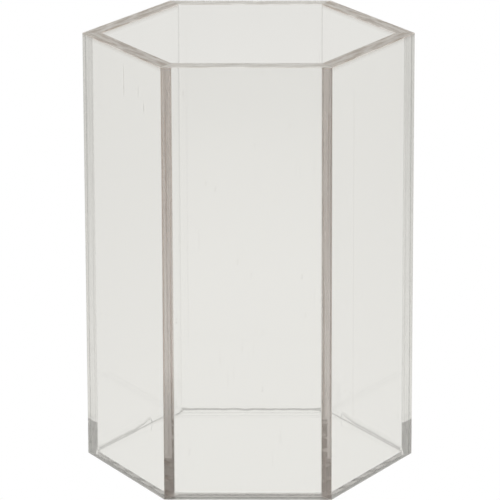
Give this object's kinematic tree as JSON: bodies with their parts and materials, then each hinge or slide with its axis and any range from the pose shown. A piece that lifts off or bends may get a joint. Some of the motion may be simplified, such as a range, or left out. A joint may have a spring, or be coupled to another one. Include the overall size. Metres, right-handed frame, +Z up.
{
  "type": "rock tumbler barrel",
  "caption": "Open-topped hexagonal barrel of clear acrylic: flat mitred walls cemented to each other and round a thin inset floor sheet.",
  "frame": {"origin": "centre of the flat underside, on the surface that the barrel stands on", "axes": "+Z up through the open rim, -Y out of the front wall, +X towards the corner between the two right-hand walls"},
  "size_m": [0.12, 0.104, 0.16],
  "materials": {
    "acrylic_wall": "clear polished sheet with sawn edges",
    "acrylic_floor": "clear polished thin sheet with sawn edges",
    "cement_film": "hazy solvent cement in a sawn joint",
    "cement_bead": "glossy, slightly uneven cement bead"
  },
  "bodies": {
    "root": {"floor": "acrylic_floor", "wall_front": "acrylic_wall", "floor_seam_front": "cement_film", "floor_bead_front": "cement_bead", "wall_front_right": "acrylic_wall", "floor_seam_front_right": "cement_film", "floor_bead_front_right": "cement_bead", "wall_back_right": "acrylic_wall", "floor_seam_back_right": "cement_film", "floor_bead_back_right": "cement_bead", "wall_back": "acrylic_wall", "floor_seam_back": "cement_film", "floor_bead_back": "cement_bead", "wall_back_left": "acrylic_wall", "floor_seam_back_left": "cement_film", "floor_bead_back_left": "cement_bead", "wall_front_left": "acrylic_wall", "floor_seam_front_left": "cement_film", "floor_bead_front_left": "cement_bead", "corner_seam_front_right_to_front": "cement_film", "corner_bead_front_right_to_front": "cement_bead", "corner_seam_back_right_to_front_right": "cement_film", "corner_bead_back_right_to_front_right": "cement_bead", "corner_seam_back_to_back_right": "cement_film", "corner_bead_back_to_back_right": "cement_bead", "corner_seam_back_left_to_back": "cement_film", "corner_bead_back_left_to_back": "cement_bead", "corner_seam_front_left_to_back_left": "cement_film", "corner_bead_front_left_to_back_left": "cement_bead", "corner_seam_front_to_front_left": "cement_film", "corner_bead_front_to_front_left": "cement_bead"}
  },
  "joints": []
}
